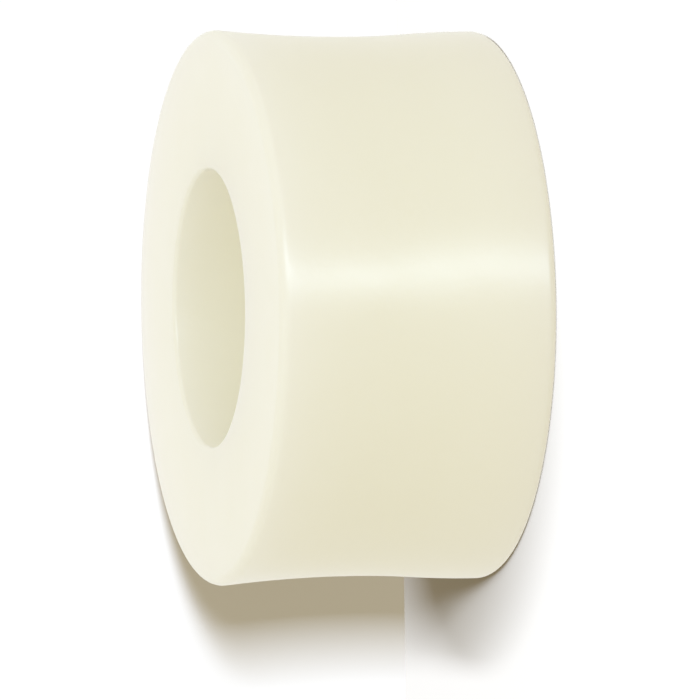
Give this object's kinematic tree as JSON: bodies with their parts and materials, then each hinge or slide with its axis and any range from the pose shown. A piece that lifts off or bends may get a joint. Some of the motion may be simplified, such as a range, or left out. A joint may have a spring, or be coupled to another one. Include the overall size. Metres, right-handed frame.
{
  "type": "nylon spacer",
  "caption": "Short round unthreaded spacer in natural nylon, with a plain through hole for a screw and a slightly waisted side.",
  "frame": {"origin": "centre of the base face, on the axis of the screw hole", "axes": "+Z along the screw hole, from the base to the top face, which carries the wider rim; X and Y lie in the base"},
  "size_m": [0.0126, 0.0126, 0.0065],
  "materials": {
    "natural_nylon": "as-moulded natural nylon: warm off-white, faintly translucent, with a soft satin sheen"
  },
  "bodies": {
    "root": {"spacer": "natural_nylon"}
  },
  "joints": []
}
